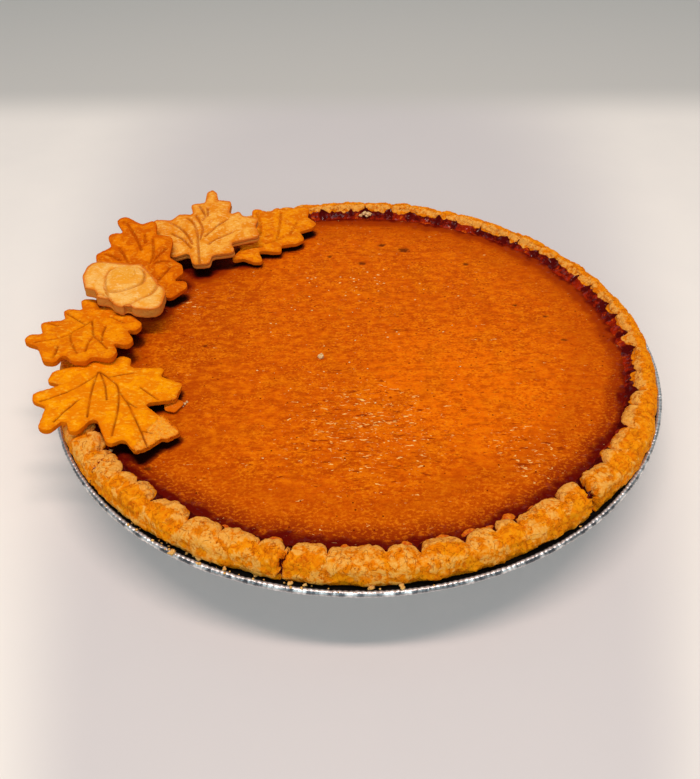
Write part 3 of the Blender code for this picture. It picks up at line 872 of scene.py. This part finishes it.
# what all cut-outs share
pressing = {
    "faceSize": 0.32,
    "softening": 8,
    "pillow": 0.45,
    "warp": 0.3,
    "bareTone": (238, 156, 54),
    "edgeTone": (214, 98, 4),
    "veinTone": (126, 46, 2),
}


def lying(cutOut):
    # from the cut-out's own flat millimetres to where it lies
    slope, uphill = (math.radians(angle) for angle in cutOut["lean"])
    tilt = Matrix.Rotation(slope, 4, Vector((math.sin(uphill), -math.cos(uphill), 0)))
    turn = Matrix.Rotation(math.radians(cutOut["turn"] - 90), 4, "Z")
    return Matrix.Translation(cutOut["place"]) @ tilt @ turn


def evenCopy(node):
    # the CAD cut-out in small even faces, with softened edges
    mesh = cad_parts[node].data.copy()
    shape = bmesh.new()
    shape.from_mesh(mesh)
    bmesh.ops.remove_doubles(shape, verts=shape.verts, dist=0.01 * mm)
    shape.to_mesh(mesh)
    shape.free()
    copy = bpy.data.objects.new("even copy", mesh)
    bpy.context.scene.collection.objects.link(copy)
    remesh = copy.modifiers.new("even faces", "REMESH")
    remesh.mode = "VOXEL"
    remesh.voxel_size = pressing["faceSize"] * mm
    shape = bmesh.new()
    shape.from_object(copy, bpy.context.evaluated_depsgraph_get())
    bpy.data.objects.remove(copy)
    for _ in range(pressing["softening"]):
        bmesh.ops.smooth_vert(shape, verts=shape.verts, factor=0.5,
                              use_axis_x=True, use_axis_y=True, use_axis_z=True)
    return shape


def nearestOf(points):
    tree = KDTree(len(points))
    for i, point in enumerate(points):
        tree.insert((point[0], point[1], 0), i)
    tree.balance()
    return tree


def pressCutOut(node, cutOut):
    shape = evenCopy(node)
    if "left" in cutOut:
        low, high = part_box(node)
        hold = Vector((low[0], (low[1] + high[1]) / 2, low[2]))
        bmesh.ops.scale(shape, verts=shape.verts, vec=cutOut["left"], space=Matrix.Translation(-hold))
        bmesh.ops.translate(shape, verts=shape.verts, vec=Vector(cutOut["shift"]) * mm)
    vein = shape.verts.layers.float.new("vein")
    side = shape.verts.layers.float.new("side")
    fringe = shape.verts.layers.float.new("fringe")
    hollow = shape.verts.layers.float.new("hollow")
    bare = shape.verts.layers.float.new("bare")
    toWorld = lying(cutOut)
    toFlat = toWorld.inverted()
    turnFlat = toFlat.to_3x3()
    turnWorld = toWorld.to_3x3()
    shape.normal_update()
    flats = [(toFlat @ (vert.co / mm), turnFlat @ vert.normal) for vert in shape.verts]
    outline = nearestOf([flat for flat, normal in flats if abs(normal.z) < 0.5])
    lines = [point for line in cutOut["veins"] for point in smoothLine([(x, y, 0) for x, y in line], 0.2)]
    veins = nearestOf(lines) if lines else None
    half, depth = cutOut["groove"]
    pillow = cutOut.get("pillow", pressing["pillow"])
    own = Vector(cutOut["place"])
    lowest = min(flat.z for flat, normal in flats)
    for vert, (flat, normal) in zip(shape.verts, flats):
        level = Vector((flat.x, flat.y, 0))
        top = ease(normal.z, 0.2, 0.75)
        toEdge = outline.find(level)[2]
        toVein = veins.find(level)[2] if veins else 99.0
        pressed = math.exp(-(toVein / half) ** 2) * ease(toEdge, 0.2, 1.6)
        move = Vector((0, 0, -depth * pressed))
        move.z -= pillow * (math.exp(-toEdge / 1.8) + 0.7 * math.exp(-toVein / 1.4))
        move.z += 0.28 * noise.noise(flat / 4.0 + own)
        for (x, y), (long, wide), higher in cutOut.get("steps", []):
            inside = 1 - math.hypot((flat.x - x) / long, (flat.y - y) / wide)
            move.z += higher * ease(inside, -0.05, 0.08)
        lost = 0.0
        if "broken" in cutOut:
            (x, y), (across, along), wander = cutOut["broken"]
            past = (flat.x - x) * across + (flat.y - y) * along
            past += wander * noise.fractal(flat / 2.5, 0.8, 2.0, 2)
            lost = ease(past, -0.3, 0.3)
            move.z -= lost * (0.6 + 0.4 * noise.noise(flat / 0.9))
            move -= normal * (1 - abs(normal.z)) * lost * abs(noise.noise(flat / 1.3)) * 1.6
        move.z *= top
        move.z += pressing["warp"] * noise.noise(flat / 14 + own)
        move += normal * 0.10 * noise.fractal(flat / 2.0, 0.8, 2.0, 3)
        upright = 1 - abs(normal.z)
        for x, y in cutOut.get("notches", []):
            near = math.hypot(flat.x - x, flat.y - y)
            move -= normal * (1.6 * upright * math.exp(-(near / 1.4) ** 2))
        split = 0.0
        if "layer" in cutOut:
            # a second layer of dough shows in the side
            wander = 0.25 * noise.noise(flat / 4)
            split = math.exp(-((flat.z - cutOut["layer"] - wander) / 0.22) ** 2) * upright
            move -= normal * 0.45 * split
        vert[vein] = clamp(max(pressed * (0.85 + 0.5 * noise.noise(flat / 5 + own)), split))
        vert[hollow] = max(math.exp(-(toVein / 1.3) ** 2), math.exp(-(toEdge / 1.4) ** 2)) * top
        vert[side] = 1 - ease(normal.z, 0.0, 0.6)
        vert[fringe] = math.exp(-((toEdge - 0.2) / 0.9) ** 2) * ease(flat.z, -1.8, -0.7)
        vert[fringe] = max(vert[fringe], 0.9 * upright * ease(flat.z, lowest * 0.7, lowest))
        vert[bare] = lost * top
        if "heart" in cutOut:
            (x, y), reach = cutOut["heart"][:2]
            away = math.hypot(flat.x - x, flat.y - y) + noise.noise(flat / 3)
            vert[bare] = ease(away, reach, reach * 0.5) * top
        vert.co += turnWorld @ move * mm
    return shape


def biscuitFinish(cutOut):
    biscuit = Finish(cutOut["piece"] + "Finish")
    first, second, third = (tone(*shade) for shade in cutOut["tones"])
    bareTone = cutOut["heart"][2] if "heart" in cutOut else pressing["bareTone"]
    blotch = biscuit.grain(6, 3, 0.55, 0.5)
    speck = biscuit.grain(1.2, 4, 0.6)
    fleck = biscuit.grain(1.1, 3, 0.6, 0.6, biscuit.stretched(1.8, 1, 1))
    fine = biscuit.grain(0.4, 3, 0.6)
    colour = biscuit.mix(biscuit.between(blotch, 0.58, 0.42), first, second)
    colour = biscuit.mix(biscuit.between(speck, 0.48, 0.36) * 0.7, colour, second)
    bare = biscuit.painted("bare") * biscuit.between(speck, 0.3, 0.6)
    colour = biscuit.mix(bare, colour, tone(*bareTone))
    hollow = biscuit.painted("hollow") * biscuit.between(speck, 0.65, 0.4)
    colour = biscuit.mix(hollow * 0.75, colour, second)
    colour = biscuit.mix(biscuit.between(fleck, 0.53, 0.68) * 0.65, colour, third)
    colour = biscuit.mix(biscuit.painted("side") * 0.85, colour, tone(*cutOut["sideTone"]))
    colour = biscuit.mix(biscuit.painted("fringe") * cutOut["bake"], colour, tone(*pressing["edgeTone"]))
    colour = biscuit.mix(biscuit.painted("vein") * cutOut["ink"], colour, tone(*pressing["veinTone"]))
    return biscuit.shade({
        "Base Color": colour,
        "Roughness": 0.65,
        "Specular IOR Level": 0.01,
        "Normal": biscuit.bump(fine, 0.08, biscuit.bump(speck, 0.3))})


for node, cutOut in cutOuts.items():
    finished(cutOut["piece"], pressCutOut(node, cutOut), biscuitFinish(cutOut), node)


# ---- crumbs and flecks

crumbs = {
    # direction, distance from the middle, height and size of those that can be picked out
    "onFoil": [(242.1, 124.0, 29.2, 1.5), (272.0, 122.0, 28.6, 1.3), (276.3, 122.4, 28.8, 1.2),
               (234.7, 123.4, 29.2, 0.8), (246.0, 121.6, 28.4, 1.5), (260.4, 122.4, 28.6, 1.1),
               (262.5, 122.0, 28.4, 0.9), (250.5, 122.5, 28.8, 0.9), (306.0, 122.6, 28.9, 0.6)],
    "dust": 46,
    "stuck": [(256.5, 109.6, 1.8), (277.9, 109.4, 2.0), (284.1, 109.2, 2.0), (288.8, 109.6, 2.7),
              (296.2, 109.2, 2.8), (301.0, 109.8, 2.2), (268.0, 109.8, 1.7), (250.6, 110.0, 1.8),
              (272.5, 109.9, 1.5), (281.0, 109.8, 1.5), (292.4, 109.8, 1.8), (247.5, 110.0, 1.6)],
    "pale": [(218.3, 19.2, 31.0, 1.15), (87.9, 111.6, 34.2, 1.3), (86.6, 111.5, 33.8, 1.2),
             (88.9, 111.2, 33.2, 1.0), (87.2, 111.2, 33.0, 0.9), (217.7, 111.4, 31.6, 0.9),
             (212.2, 78.6, 31.2, 0.6), (211.7, 77.4, 31.1, 0.5), (212.9, 79.6, 31.1, 0.4)],
    # painted highlights, pale specks that stand in for glints on the wet custard: how many, middle, spread,
    # size and how drawn out
    "paintedGlintSpots": [(30, (-2, 46), (17, 9), (0.28, 0.48), (1.0, 2.2)),
               (36, (-6, -62), (15, 8), (0.24, 0.42), (1.2, 3.0)),
               (70, (0, 0), (52, 50), (0.20, 0.40), (1.0, 2.0))],
    # torn bits of skin: how many, middle and spread, and their sizes
    "shreds": [(76, (-8, -60), (17, 9)), (14, (8, -53), (4, 2)), (16, (-80, 30), (5, 8)),
               (24, (60, -64), (14, 8))],
    "shredSizes": (0.14, 0.30),
    # the light tone, dark tone and roughness of each kind
    "finishes": {
        "crumb": ((236, 190, 114), (212, 150, 70), 0.8),
        "stuckCrumb": ((238, 134, 18), (206, 76, 4), 0.3),
        "paleCrumb": ((234, 200, 148), (206, 150, 86), 0.7),
        "paintedGlint": ((255, 222, 156), (250, 184, 92), 0.3),
        "skinShred": ((252, 190, 100), (236, 136, 40), 0.5),
    },
}


def addCrumb(shape, place, size, flat=0.75, drawn=1.0, turn=0.0, lumps=0.5):
    finer = 3 if size > 0.7 else 1 if size < 0.5 else 2  # the many small ones have few faces
    made = bmesh.ops.create_icosphere(shape, subdivisions=finer, radius=1)["verts"]
    for vert in made:
        lump = 1 + lumps * noise.fractal(vert.co * 1.1 + place, 0.8, 2.0, 3)
        vert.co = Vector((vert.co.x * drawn, vert.co.y, vert.co.z * flat)) * lump * size
    bmesh.ops.rotate(shape, verts=made, cent=(0, 0, 0), matrix=Matrix.Rotation(turn, 3, "Z"))
    for vert in made:
        vert.co = (vert.co + place) * mm


def polar(angle, radius, height):
    turn = math.radians(angle)
    return Vector((radius * math.cos(turn), radius * math.sin(turn), height))


def crumbFinish(name):
    lightTone, darkTone, roughness = crumbs["finishes"][name]
    crumb = Finish(name)
    speck = crumb.grain(0.8, 3, 0.6)
    return crumb.shade({
        "Base Color": crumb.mix(crumb.between(speck, 0.35, 0.65), tone(*darkTone), tone(*lightTone)),
        "Roughness": roughness,
        "Specular IOR Level": 0.08,
        "Normal": crumb.bump(speck, 0.2)})


def makeCrumbs():
    rng = random.Random(7)
    loose = bmesh.new()
    for angle, radius, height, size in crumbs["onFoil"]:
        addCrumb(loose, polar(angle, radius, height), size * 0.62, 0.7, 1.3, rng.uniform(0, 3), 0.8)
    for _ in range(crumbs["dust"]):
        angle = rng.triangular(218, 285, 245)
        radius = rng.uniform(121.2, 124.2)
        height = 29.1 if radius > 122.9 else 27.6
        addCrumb(loose, polar(angle, radius, height), rng.uniform(0.2, 0.5), 0.8, 1.2, rng.uniform(0, 3))
    finished("looseCrumbs", loose, crumbFinish("crumb"))

    stuck = bmesh.new()
    for angle, radius, size in crumbs["stuck"]:
        place = polar(angle, radius + rng.uniform(0.4, 1.0), rng.uniform(31.4, 32.0))
        addCrumb(stuck, place, size * rng.uniform(0.6, 0.8), 0.7, rng.uniform(1.2, 1.8),
                 math.radians(angle + 90), 0.25)
    finished("stuckCrumbs", stuck, crumbFinish("stuckCrumb"))

    pale = bmesh.new()
    for angle, radius, height, size in crumbs["pale"]:
        addCrumb(pale, polar(angle, radius, height), size, 0.7, 1.2, rng.uniform(0, 3))
    finished("paleCrumbs", pale, crumbFinish("paleCrumb"))

    # painted highlights: tiny pale specks on the wet custard that stand in for its glints, and shreds of its
    # torn skin
    paintedGlintSpots = bmesh.new()
    for count, middle, spread, sizes, drawn in crumbs["paintedGlintSpots"]:
        for _ in range(count):
            place = Vector((rng.gauss(middle[0], spread[0]), rng.gauss(middle[1], spread[1]), 30.68))
            if place.length < 94:
                addCrumb(paintedGlintSpots, place, rng.uniform(*sizes), 0.5, rng.uniform(*drawn),
                         rng.uniform(-0.4, 0.4))
    finished("paintedGlints", paintedGlintSpots, crumbFinish("paintedGlint"))

    shreds = bmesh.new()
    for count, middle, spread in crumbs["shreds"]:
        for _ in range(count):
            place = Vector((rng.gauss(middle[0], spread[0]), rng.gauss(middle[1], spread[1]), 30.66))
            if place.length < 103:
                addCrumb(shreds, place, rng.uniform(*crumbs["shredSizes"]), 0.6, rng.uniform(1.5, 5),
                         rng.uniform(-0.75, 0.6))
    finished("skinShreds", shreds, crumbFinish("skinShred"))


makeCrumbs()
